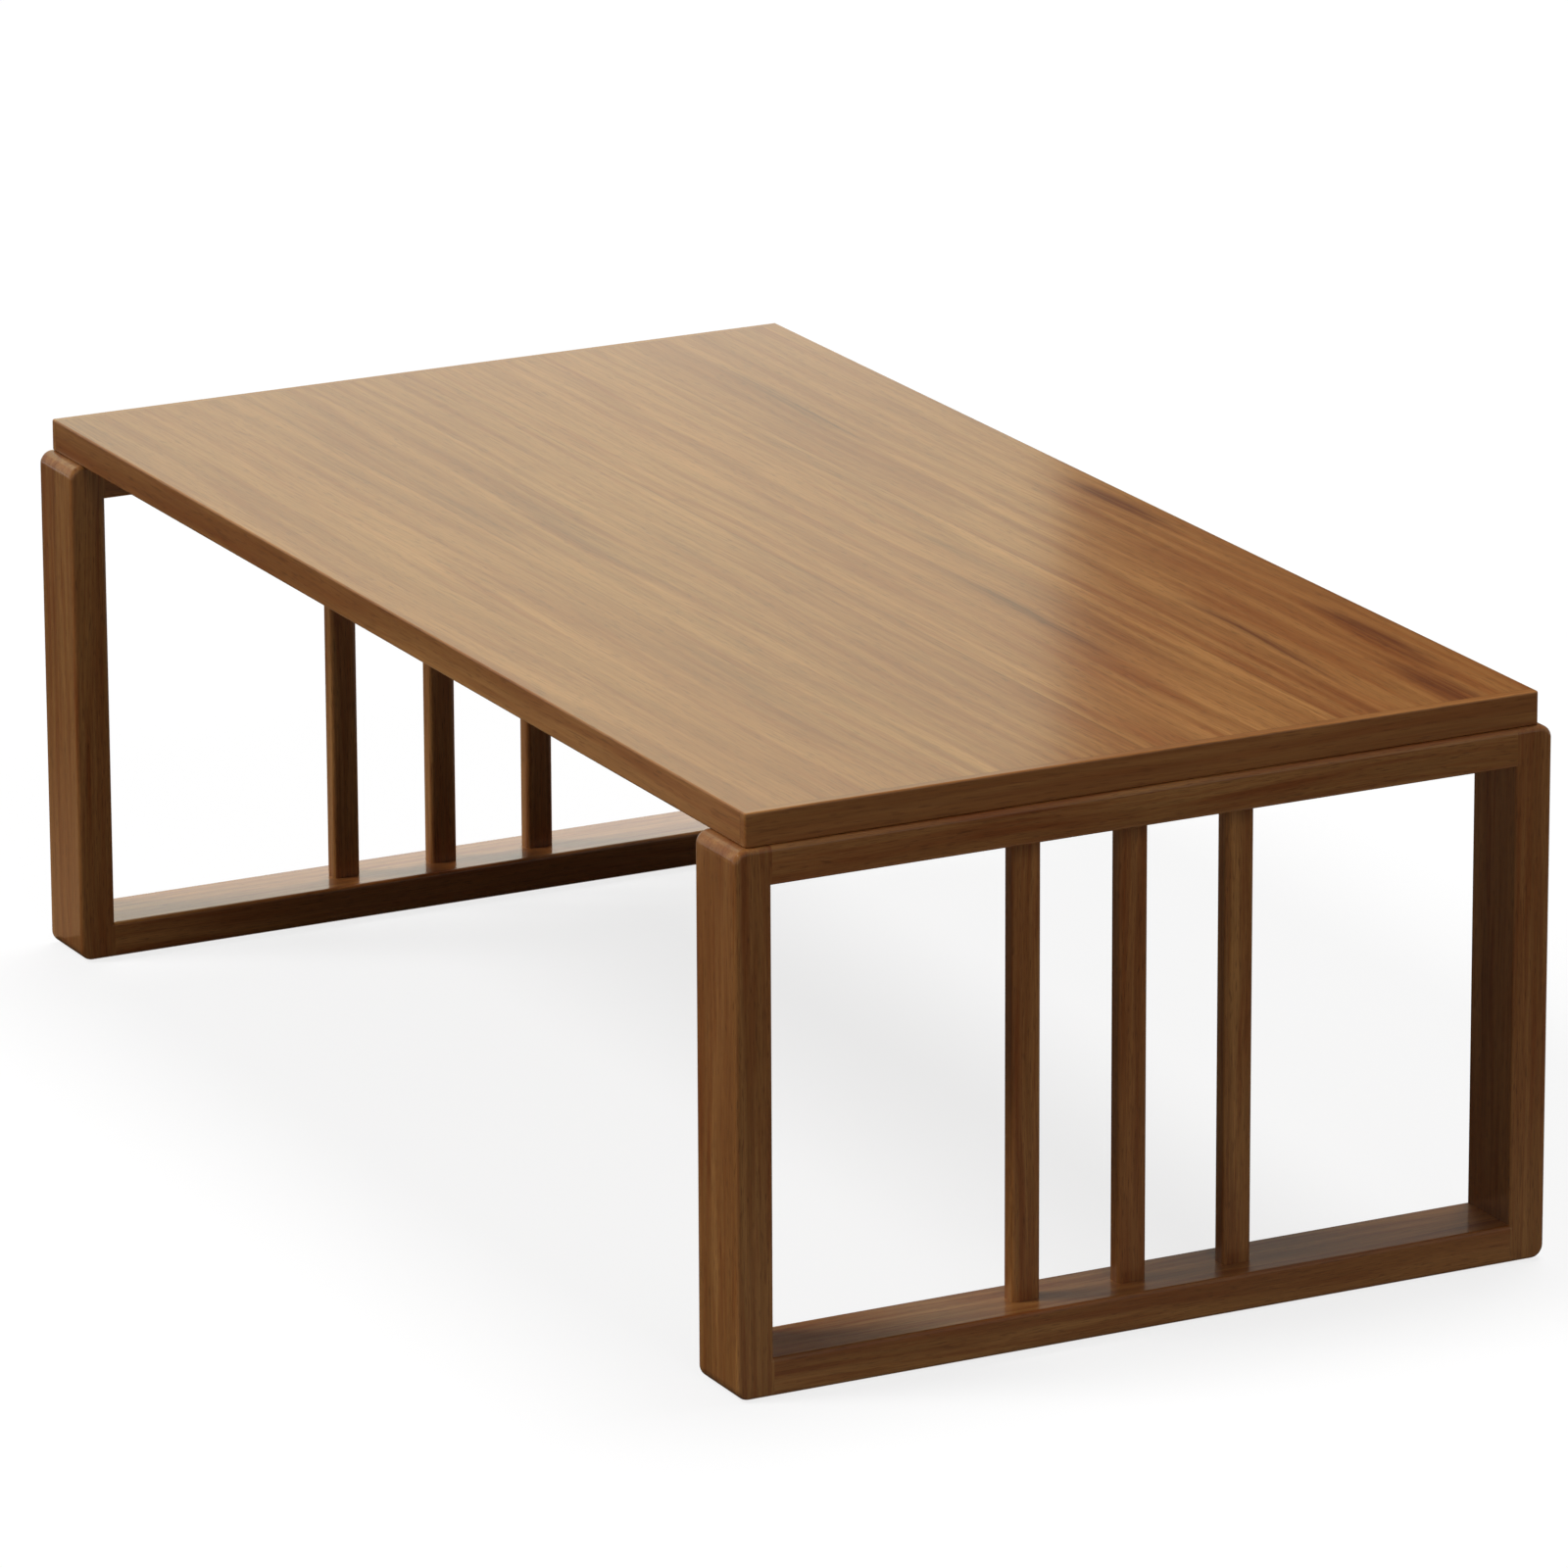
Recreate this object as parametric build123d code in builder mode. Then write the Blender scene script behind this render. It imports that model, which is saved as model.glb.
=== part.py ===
"""Folding low table: a board top on two slatted end frames that fold in flat beneath it.

The X axis runs along the table, Y across it and Z up. The origin is on the floor, under the
middle of the top. The front is the long side at -Y. The frames stand at the left (-X) and the
right (+X). All lengths are millimetres.
"""

import os

from build123d import *

os.makedirs("parts", exist_ok=True)

# Table over its outermost faces
table_length = 950.0
table_width = 520.0
table_height = 340.0

# Tabletop: edge glued boards with a strip over the end grain at each end
top_thickness = 20.0
top_end_setback = 3.0  # end of the top behind the outer face of a frame
top_side_setback = 8.0  # side of the top behind the outer face of a leg
top_edge_radius = 1.2
top_corner_radius = 1.5
board_count = 4
end_strip_thickness = 6.0
tongue_length = 6.0
tongue_thickness = 6.0

# End frames: two legs, two rails and the slats between the rails
frame_depth = 49.0
leg_thickness = 23.0
rail_height = 22.5
frame_corner_radius = 8.0  # corners of the frame as seen from its end
frame_edge_radius = 3.0  # long edges round the outside of the frame
inner_edge_radius = 2.5  # long edges round the opening of the frame
slat_count = 3
slat_gap = 50.0
slat_width = 18.0
slat_depth = 12.0
slat_edge_radius = 3.0

# Glued joints
rail_tenon_length = 14.0
rail_tenon_width = 30.0
rail_tenon_thickness = 10.0
slat_tenon_length = 10.0
slat_tenon_width = 10.0
slat_tenon_thickness = 6.0
glue_gap = 0.1  # round a tenon or tongue
end_gap = 0.5  # past the end of a tenon or tongue
joint_lead = 1.0  # chamfer round the end of a tenon and along a tongue

# Foot pads, set into the bottom rails
pad_radius = 10.0
pad_thickness = 2.0
pad_recess = 1.5
pad_edge_radius = 0.4
pad_from_leg = 17.0  # pad centre to the inner face of the leg

# Snap hinges: where they stand and where their axis lies
hinge_from_leg = 88.0  # middle of the hinge to the inner face of the leg
axis_below_top = 9.0
axis_from_frame = 8.0

# Snap hinge sheet metal
plate_thickness = 2.0
plate_corner_radius = 4.0
base_plate_length = 60.0  # from the axis
base_plate_width = 36.0
arm_plate_width = 70.0
arm_plate_margin = 0.5  # to the rounded edges of the rail
ear_tail = 16.0  # how far an ear runs along the base plate
bend_outer_radius = 1.5  # where an ear bends down from the base plate
bend_inner_radius = 0.5
knuckle_size = 8.0  # side of the square knuckle that the spring bears on
knuckle_corner_radius = 1.0
running_gap = 0.5  # ears to the arm plate
side_gap = 0.3  # knuckle to the ears

# Snap spring: a flat strip that rides on the knuckle
spring_thickness = 1.0
spring_width = 16.0
spring_flat_end = 18.0  # from the axis
spring_ramp_end = 23.0
spring_end = 34.0
spring_tip = 3.0  # past the axis
spring_bend_radius = 3.0
spring_rivet_place = 28.5
rivet_radius = 1.8
rivet_head_radius = 3.2
rivet_head_thickness = 1.2

# Hinge pin
pin_radius = 2.5
pin_clearance = 0.05
pin_head_radius = 4.0
pin_head_thickness = 1.2

# Countersunk wood screws
screw_radius = 1.75
screw_head_radius = 3.5
screw_length = 15.0
screw_point = 3.0
screw_clearance = 0.05
screw_hole_extra = 1.0  # pilot hole past the point of the screw
base_screw_near = 20.0  # rows from the axis
base_screw_far = 50.0
base_screw_spacing = 26.0
arm_screw_inner = 21.0  # from the middle of the arm plate
arm_screw_outer = 30.0

# Derived sizes of the top
top_length = table_length - 2 * top_end_setback
top_width = table_width - 2 * top_side_setback
top_underside = table_height - top_thickness
board_length = top_length - 2 * end_strip_thickness
board_width = top_width / board_count

# Derived sizes of a frame
frame_bottom = pad_thickness - pad_recess
frame_height = top_underside - frame_bottom
frame_middle_z = frame_bottom + frame_height / 2
frame_middle_x = -table_length / 2 + frame_depth / 2
frame_inner_x = -table_length / 2 + frame_depth
opening_width = table_width - 2 * leg_thickness
opening_height = frame_height - 2 * rail_height
opening_bottom = frame_bottom + rail_height
opening_top = opening_bottom + opening_height
pad_y = opening_width / 2 - pad_from_leg
slat_pitch = slat_width + slat_gap

# Derived places of the left front hinge
hinge_y = hinge_from_leg - opening_width / 2
axis_x = frame_inner_x + axis_from_frame
axis_z = top_underside - axis_below_top
base_plate_face = top_underside - plate_thickness
arm_plate_face = frame_inner_x + plate_thickness
arm_plate_top = top_underside - frame_edge_radius - arm_plate_margin
arm_plate_bottom = opening_top + inner_edge_radius + arm_plate_margin
arm_plate_height = arm_plate_top - arm_plate_bottom
arm_plate_middle = (arm_plate_top + arm_plate_bottom) / 2
ear_radius = axis_from_frame - plate_thickness - running_gap
knuckle_width = base_plate_width - 2 * plate_thickness - 2 * side_gap
hinge_plane = Plane(origin=(axis_x, hinge_y, axis_z), x_dir=(1, 0, 0), z_dir=(0, -1, 0))

SIDES = ("left", "right")
ENDS = ("front", "back")


def placed(solid, side, end="front"):
    """The left front solid, mirrored to the given side and end of the table."""
    if side == "right":
        solid = solid.mirror(Plane.YZ)
    if end == "back":
        solid = solid.mirror(Plane.XZ)
    return solid


def save(builder, name):
    """Label a finished piece and write it."""
    builder.part.label = name
    export_step(builder.part, f"parts/{name}.step")


# Screw places of the left front hinge, each a plane on the screw's head that faces away
# from the wood
base_screw_places = [
    Plane(origin=(axis_x + row, hinge_y + across, base_plate_face), z_dir=(0, 0, -1))
    for row in (base_screw_near, base_screw_far)
    for across in (-base_screw_spacing / 2, base_screw_spacing / 2)
]
arm_screw_places = [
    Plane(origin=(arm_plate_face, hinge_y + across, arm_plate_middle), z_dir=(1, 0, 0))
    for across in (-arm_screw_outer, -arm_screw_inner, arm_screw_inner, arm_screw_outer)
]

# Wood screw, head up, with its head face at the origin
with BuildPart() as wood_screw:
    with BuildSketch(Plane.XZ):
        with BuildLine():
            Polyline(
                (0, 0),
                (screw_head_radius, 0),
                (screw_radius, screw_radius - screw_head_radius),
                (screw_radius, screw_point - screw_length),
                (0, -screw_length),
                close=True,
            )
        make_face()
    revolve(axis=Axis.Z)

# Pilot hole for one screw, down from the face of the wood under a plate
with BuildPart() as pilot_hole:
    with BuildSketch(Plane.XY.offset(-plate_thickness)):
        Circle(screw_radius + screw_clearance)
    extrude(amount=plate_thickness - screw_length - screw_hole_extra)

# Screws and pilot holes of the left front hinge
with BuildPart() as base_screws_shape:
    with Locations(*base_screw_places):
        add(wood_screw.part)
with BuildPart() as base_holes_shape:
    with Locations(*base_screw_places):
        add(pilot_hole.part)
with BuildPart() as arm_screws_shape:
    with Locations(*arm_screw_places):
        add(wood_screw.part)
with BuildPart() as arm_holes_shape:
    with Locations(*arm_screw_places):
        add(pilot_hole.part)

# Tabletop as one blank, shaped and drilled before it is cut into its pieces
with BuildPart() as top_blank:
    with BuildSketch(Plane.XY.offset(top_underside)):
        RectangleRounded(top_length, top_width, top_corner_radius)
    extrude(amount=top_thickness)
    rims = faces().filter_by(Axis.Z).edges()
    fillet(rims, radius=top_edge_radius)
    for side in SIDES:
        for end in ENDS:
            add(placed(base_holes_shape.part, side, end), mode=Mode.SUBTRACT)

# Boards, numbered from the front, each with a tongue on its back edge
for number in range(1, board_count + 1):
    front_y = -top_width / 2 + (number - 1) * board_width
    back_y = front_y + board_width
    tongue_z = top_underside + top_thickness / 2
    with BuildPart() as board:
        add(top_blank.part)
        split(bisect_by=Plane.YZ.offset(board_length / 2), keep=Keep.BOTTOM)
        split(bisect_by=Plane.YZ.offset(-board_length / 2), keep=Keep.TOP)
        if number > 1:
            split(bisect_by=Plane.XZ.offset(-front_y), keep=Keep.BOTTOM)
            groove_depth = tongue_length + end_gap
            with Locations((0, front_y + groove_depth / 2, tongue_z)):
                Box(board_length, groove_depth, tongue_thickness + 2 * glue_gap, mode=Mode.SUBTRACT)
        if number < board_count:
            split(bisect_by=Plane.XZ.offset(-back_y), keep=Keep.TOP)
            with Locations((0, back_y + tongue_length / 2, tongue_z)):
                Box(board_length, tongue_length, tongue_thickness)
            tongue_edges = faces().sort_by(Axis.Y)[-1].edges().filter_by(Axis.X)
            chamfer(tongue_edges, length=joint_lead)
    save(board, f"top_board_{number}")

# End strips, glued over the end grain of the boards
with BuildPart() as end_strip_shape:
    add(top_blank.part)
    split(bisect_by=Plane.YZ.offset(-board_length / 2), keep=Keep.BOTTOM)
for side in SIDES:
    with BuildPart() as end_strip:
        add(placed(end_strip_shape.part, side))
    save(end_strip, f"{side}_end_strip")

joint_y = opening_width / 2
rail_joint_heights = (frame_bottom + rail_height / 2, opening_top + rail_height / 2)
frame_middle = (frame_middle_x, 0, frame_middle_z)

# Left frame as one solid block, rounded at its corners, outer edges and round its opening
with BuildPart() as frame_block:
    with BuildSketch(Plane.YZ.offset(-table_length / 2)):
        with Locations((0, frame_middle_z)):
            RectangleRounded(table_width, frame_height, frame_corner_radius)
    extrude(amount=frame_depth)
    outer_edges = faces().filter_by(Axis.X).edges()
    fillet(outer_edges, radius=frame_edge_radius)
    with Locations(frame_middle):
        Box(frame_depth, opening_width, opening_height, mode=Mode.SUBTRACT)
    opening_rims = [face.inner_wires()[0].edges() for face in faces().filter_by(Axis.X)]
    fillet(opening_rims[0] + opening_rims[1], radius=inner_edge_radius)

# Front leg of the left frame, cut from the block, with a mortise for each rail
with BuildPart() as leg_shape:
    add(frame_block.part)
    split(bisect_by=Plane.XZ.offset(joint_y), keep=Keep.TOP)
    for height in rail_joint_heights:
        with Locations((frame_middle_x, -joint_y, height)):
            Box(
                rail_tenon_width + 2 * glue_gap,
                rail_tenon_length + end_gap,
                rail_tenon_thickness + 2 * glue_gap,
                align=(Align.CENTER, Align.MAX, Align.CENTER),
                mode=Mode.SUBTRACT,
            )

# Rails of the left frame, cut from the block, with their mortises, holes and tenons
with BuildPart() as rails_shape:
    add(frame_block.part)
    split(bisect_by=Plane.XZ.offset(joint_y), keep=Keep.BOTTOM)
    split(bisect_by=Plane.XZ.offset(-joint_y), keep=Keep.TOP)
    with Locations(frame_middle):
        with GridLocations(0, slat_pitch, 1, slat_count):
            Box(
                slat_tenon_thickness + 2 * glue_gap,
                slat_tenon_width + 2 * glue_gap,
                opening_height + 2 * (slat_tenon_length + end_gap),
                mode=Mode.SUBTRACT,
            )
    with Locations((frame_middle_x, -pad_y, frame_bottom), (frame_middle_x, pad_y, frame_bottom)):
        Cylinder(
            pad_radius + glue_gap,
            pad_recess,
            align=(Align.CENTER, Align.CENTER, Align.MIN),
            mode=Mode.SUBTRACT,
        )
    for end in ENDS:
        add(placed(arm_holes_shape.part, "left", end), mode=Mode.SUBTRACT)
    for height in rail_joint_heights:
        with Locations((frame_middle_x, -joint_y, height)):
            Box(
                rail_tenon_width,
                rail_tenon_length,
                rail_tenon_thickness,
                align=(Align.CENTER, Align.MAX, Align.CENTER),
            )
        with Locations((frame_middle_x, joint_y, height)):
            Box(
                rail_tenon_width,
                rail_tenon_length,
                rail_tenon_thickness,
                align=(Align.CENTER, Align.MIN, Align.CENTER),
            )
    for tenon_ends in (faces().group_by(Axis.Y)[0], faces().group_by(Axis.Y)[-1]):
        chamfer(tenon_ends.edges(), length=joint_lead)

# Slat in the middle of the left frame, with a stub tenon at each end
with BuildPart() as slat_shape:
    with BuildSketch(Plane.XY.offset(opening_bottom)):
        with Locations((frame_middle_x, 0)):
            RectangleRounded(slat_depth, slat_width, slat_edge_radius)
    extrude(amount=opening_height)
    with Locations((frame_middle_x, 0, frame_middle_z)):
        Box(slat_tenon_thickness, slat_tenon_width, opening_height + 2 * slat_tenon_length)
    for tenon_end in (faces().sort_by(Axis.Z)[0], faces().sort_by(Axis.Z)[-1]):
        chamfer(tenon_end.edges(), length=joint_lead)

# Foot pad at the front of the left frame
with BuildPart() as pad_shape:
    with BuildSketch(Plane.XY):
        with Locations((frame_middle_x, -pad_y)):
            Circle(pad_radius)
    extrude(amount=pad_thickness)
    fillet(edges().group_by(Axis.Z)[0], radius=pad_edge_radius)

for side in SIDES:
    for end in ENDS:
        with BuildPart() as leg:
            add(placed(leg_shape.part, side, end))
        save(leg, f"{side}_{end}_leg")
        with BuildPart() as foot_pad:
            add(placed(pad_shape.part, side, end))
        save(foot_pad, f"{side}_{end}_foot_pad")
    for level, keep in (("top", Keep.TOP), ("bottom", Keep.BOTTOM)):
        with BuildPart() as rail:
            add(placed(rails_shape.part, side))
            split(bisect_by=Plane.XY.offset(frame_middle_z), keep=keep)
        save(rail, f"{side}_{level}_rail")
    for number in range(1, slat_count + 1):
        slat_y = (number - (slat_count + 1) / 2) * slat_pitch
        with BuildPart() as slat:
            with Locations((0, slat_y, 0)):
                add(placed(slat_shape.part, side))
        save(slat, f"{side}_slat_{number}")

# Base plate of the left front hinge: a flange under the top with two ears bent down from it
with BuildPart() as base_plate_shape:
    with BuildSketch(Plane.XY.offset(base_plate_face)):
        with Locations((axis_x + (base_plate_length - ear_radius) / 2, hinge_y)):
            Rectangle(base_plate_length + ear_radius, base_plate_width)
    extrude(amount=plate_thickness)
    fillet(edges().filter_by(Axis.Z).group_by(Axis.X)[-1], radius=plate_corner_radius)
    for outward in (1, -1):
        ear_middle = outward * (base_plate_width - plate_thickness) / 2
        with BuildSketch(hinge_plane.offset(ear_middle)):
            Circle(ear_radius)
            with Locations((ear_tail / 2 - ear_radius / 2, axis_below_top - plate_thickness / 2)):
                Rectangle(ear_tail + ear_radius, plate_thickness)
            make_hull()
            Circle(pin_radius + pin_clearance, mode=Mode.SUBTRACT)
        extrude(amount=plate_thickness / 2, both=True)
    outer_bends = faces().sort_by(Axis.Z)[-1].edges().filter_by(Axis.X)
    fillet(outer_bends, radius=bend_outer_radius)
    plate_underside = faces().filter_by(Axis.Z).sort_by(Axis.Z)[-2]
    inner_bends = plate_underside.edges().filter_by(Axis.X).group_by(Axis.X)[0]
    fillet(inner_bends, radius=bend_inner_radius)
    with Locations(*base_screw_places):
        CounterSinkHole(screw_radius + screw_clearance, screw_head_radius, counter_sink_angle=90)
    with Locations((axis_x + spring_rivet_place, hinge_y, base_plate_face)):
        Hole(rivet_radius + pin_clearance)

# Arm plate of the left front hinge: a leaf on the top rail with the square knuckle
with BuildPart() as arm_plate_shape:
    with BuildSketch(Plane.YZ.offset(frame_inner_x)):
        with Locations((hinge_y, arm_plate_middle)):
            RectangleRounded(arm_plate_width, arm_plate_height, plate_corner_radius)
    extrude(amount=plate_thickness)
    with BuildSketch(hinge_plane):
        Rectangle(knuckle_size, knuckle_size)
        fillet(vertices().group_by(Axis.X)[-1], radius=knuckle_corner_radius)
        neck_length = axis_from_frame - plate_thickness
        with Locations((-neck_length / 2, 0)):
            Rectangle(neck_length, knuckle_size)
        Circle(pin_radius + pin_clearance, mode=Mode.SUBTRACT)
    extrude(amount=knuckle_width / 2, both=True)
    with Locations(*arm_screw_places):
        CounterSinkHole(screw_radius + screw_clearance, screw_head_radius, counter_sink_angle=90)

# Pin of the left front hinge, with a head at each end
with BuildPart() as pin_shape:
    with BuildSketch(hinge_plane):
        Circle(pin_radius)
    extrude(amount=base_plate_width / 2, both=True)
    for outward in (1, -1):
        head_middle = outward * (base_plate_width + pin_head_thickness) / 2
        with BuildSketch(hinge_plane.offset(head_middle)):
            Circle(pin_head_radius)
        extrude(amount=pin_head_thickness / 2, both=True)
    for end_face in (faces().sort_by(Axis.Y)[0], faces().sort_by(Axis.Y)[-1]):
        fillet(end_face.edges(), radius=pin_head_thickness / 2)

# Snap spring of the left front hinge: it lies on the knuckle and steps up to the base plate
with BuildPart() as spring_shape:
    low = knuckle_size / 2
    high = axis_below_top - plate_thickness - spring_thickness
    with BuildSketch(hinge_plane):
        with BuildLine():
            Polyline(
                (-spring_tip, low),
                (spring_flat_end, low),
                (spring_ramp_end, high),
                (spring_end, high),
                (spring_end, high + spring_thickness),
                (spring_ramp_end, high + spring_thickness),
                (spring_flat_end, low + spring_thickness),
                (-spring_tip, low + spring_thickness),
                close=True,
            )
        make_face()
        for bend in ((spring_flat_end, low + spring_thickness), (spring_ramp_end, high)):
            fillet(vertices().sort_by_distance(bend)[0], radius=spring_bend_radius)
        for bend in ((spring_flat_end, low), (spring_ramp_end, high + spring_thickness)):
            outer = vertices().sort_by_distance(bend)[0]
            fillet(outer, radius=spring_bend_radius + spring_thickness)
    extrude(amount=spring_width / 2, both=True)
    with Locations((axis_x + spring_rivet_place, hinge_y, axis_z + high)):
        Hole(rivet_radius + pin_clearance)

# Rivet that holds the spring of the left front hinge to its base plate
with BuildPart() as rivet_shape:
    rivet_foot = base_plate_face - spring_thickness
    with BuildSketch(Plane.XY.offset(rivet_foot)):
        with Locations((axis_x + spring_rivet_place, hinge_y)):
            Circle(rivet_radius)
    extrude(amount=spring_thickness + plate_thickness)
    with BuildSketch(Plane.XY.offset(rivet_foot)):
        with Locations((axis_x + spring_rivet_place, hinge_y)):
            Circle(rivet_head_radius)
    extrude(amount=-rivet_head_thickness)
    fillet(edges().group_by(Axis.Z)[0], radius=rivet_head_thickness / 2)

for side in SIDES:
    for end in ENDS:
        with BuildPart() as base_plate:
            add(placed(base_plate_shape.part, side, end))
        save(base_plate, f"{side}_{end}_base_plate")
        with BuildPart() as arm_plate:
            add(placed(arm_plate_shape.part, side, end))
        save(arm_plate, f"{side}_{end}_arm_plate")
        with BuildPart() as hinge_pin:
            add(placed(pin_shape.part, side, end))
        save(hinge_pin, f"{side}_{end}_hinge_pin")
        with BuildPart() as snap_spring:
            add(placed(spring_shape.part, side, end))
        save(snap_spring, f"{side}_{end}_snap_spring")

# Fasteners, a group of like ones to each node
with BuildPart() as base_screws:
    for side in SIDES:
        for end in ENDS:
            add(placed(base_screws_shape.part, side, end))
save(base_screws, "base_screws")
with BuildPart() as spring_rivets:
    for side in SIDES:
        for end in ENDS:
            add(placed(rivet_shape.part, side, end))
save(spring_rivets, "spring_rivets")
for side in SIDES:
    with BuildPart() as arm_screws:
        for end in ENDS:
            add(placed(arm_screws_shape.part, side, end))
    save(arm_screws, f"{side}_arm_screws")
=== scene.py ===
"""Looks for a folding low table with a lacquered board top on two slatted end frames."""

import math

import bmesh
import bpy
from mathutils import Matrix, Vector


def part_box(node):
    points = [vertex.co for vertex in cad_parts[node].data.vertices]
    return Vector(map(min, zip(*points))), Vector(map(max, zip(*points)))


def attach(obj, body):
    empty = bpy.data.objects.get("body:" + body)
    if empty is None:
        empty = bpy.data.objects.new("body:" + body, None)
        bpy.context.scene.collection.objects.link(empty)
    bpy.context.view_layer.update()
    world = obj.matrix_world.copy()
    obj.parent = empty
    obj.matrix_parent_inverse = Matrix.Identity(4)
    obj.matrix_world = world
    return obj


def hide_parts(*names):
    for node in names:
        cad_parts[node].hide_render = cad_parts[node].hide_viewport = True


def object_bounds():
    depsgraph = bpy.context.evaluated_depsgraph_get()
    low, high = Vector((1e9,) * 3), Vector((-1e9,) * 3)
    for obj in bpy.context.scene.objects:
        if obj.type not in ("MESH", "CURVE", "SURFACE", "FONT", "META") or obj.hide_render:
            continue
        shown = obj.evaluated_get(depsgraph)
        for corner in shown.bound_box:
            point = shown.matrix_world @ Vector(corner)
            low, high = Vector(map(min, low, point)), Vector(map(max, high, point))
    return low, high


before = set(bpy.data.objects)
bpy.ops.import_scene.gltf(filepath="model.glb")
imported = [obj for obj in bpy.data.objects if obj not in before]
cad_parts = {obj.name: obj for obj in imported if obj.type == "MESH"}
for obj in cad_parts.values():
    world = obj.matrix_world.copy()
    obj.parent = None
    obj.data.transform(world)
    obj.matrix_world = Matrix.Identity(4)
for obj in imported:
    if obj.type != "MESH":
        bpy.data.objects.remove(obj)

bl_info = {
    "name": "Folding Low Table",
    "version": (1, 0, 0),
    "blender": (4, 5, 0),
    "location": "View3D > Sidebar > Low Table",
    "description": "Finishes and studio for a low table with folding end frames",
    "category": "Object",
}

CAD_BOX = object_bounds()
SIDES = ("left", "right")
ENDS = ("front", "back")
BOARDS = (1, 2, 3, 4)
SLATS = (1, 2, 3)

# Turns that bring a piece's grain onto X: grain along X, along Y and along Z
GRAIN_ALONG = {
    "X": (0.0, 0.0, 0.0),
    "Y": (0.0, 0.0, math.radians(-90)),
    "Z": (0.0, math.radians(90), 0.0),
}

# Steps through the tree from one piece to the next, so that no two share their grain
BOARD_STEP = (0.37, 0.61, 0.0)
STRIP_START = (1.3, 0.4, 0.05)
FRAME_START, FRAME_STEP = 3.0, 0.43
FRAME_SHARES = (1.0, 0.7, 0.3)

# Figure of the wood, in metres
STRAND = (0.2, 0.0024)  # length and width of the fibres that break up a heartwood streak
DRIFT = (0.42, 0.075)  # length and width of the slow change of tone across a board
STRAY = 0.016  # how far the fibres wander sideways
PITH_SHIFT = (0.0, 0.03, 0.09)  # from the middle of the tree to the piece
PITH_TILT = (0.0, math.radians(3.0), math.radians(1.2))
GLUE_LINE = (0.0002, 0.0007)  # half its width, fully dark and faded out
FIBRE_CONTRAST = 0.08  # share by which the fibres darken and lighten the tone
GRAIN_RELIEF = 0.00006  # height of the grain under the lacquer
COAT_RELIEF = 0.00004  # height of the flow marks in the lacquer

# Waves per metre, first along the grain or the rolling lines and then across them
WANDER_WAVES = (3.0, 16.0, 16.0)  # wander of the fibres
BUNCH_WAVES = (2.2, 9.0, 9.0)  # bunches of heartwood streaks
FLOW_WAVES = (40.0, 160.0, 160.0)  # flow marks in the lacquer
ROLLING_WAVES = (60.0, 2500.0, 2500.0)  # rolling lines of the sheet metal

# Hinge sheet metal and where its screws sit, in metres
HINGE_SHEET = 0.002
BASE_SCREW_ROWS = (0.02, 0.05)  # from the pin toward the middle of the table
BASE_SCREW_PLACES = (-0.013, 0.013)  # across, from the middle of the hinge
ARM_SCREW_PLACES = (-0.03, -0.021, 0.021, 0.03)  # across, from the middle of the hinge

# Screw head, and thread as rings, in metres
HEAD_FACE = 0.94  # flat part of the head as a share of its radius
HEAD_RIM = 0.00018  # height of the bevel round it
DRIVE_TAPER = 0.3  # length of a wing at the bottom of the recess as a share of that on top
THREAD_START = 0.0005  # below the head's cone
THREAD_PITCH = 0.00119  # ring to ring
THREAD_FLANK = 0.000588  # root to crest
THREAD_ROOT = 0.72  # root radius as a share of the crest's
THREAD_TAPER = 0.004  # length over which the rings shrink toward the point
BARE_POINT = 0.00336  # length with no thread
SCREW_TWIST = 0.9  # turn in radians from one screw of a group to the next

# Stage, in metres
CARD_DISTANCE = 3.5  # from the middle of the table, as are the next two
LAMP_DISTANCE = 3.0  # only where the lamps stand in the viewport, since they shine as suns
WALL_DISTANCE = 4.6
WALL_HEIGHT = 3.7
BACK_CARD_GAP = 0.008  # from the back of the frames
BACK_CARD_INSET = (0.025, 0.002)  # from the table's ends, and from the floor and the top
FLOOR_REACH = 15.0
FLOOR_DROP = 0.0002  # below the foot pads
# The low sheet only shows in reflections: its dim glow is painted shade, and its lit glow past the
# ends is a painted glow of bounced light
SHEET_WIDTH = 6.0
SHEET_HEIGHT = 0.0015
SHEET_FADE = 0.55  # past the table's ends, from the lit part of the low sheet to the dim part
DIM_GLOW, LIT_GLOW = 0.05, 0.36


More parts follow.
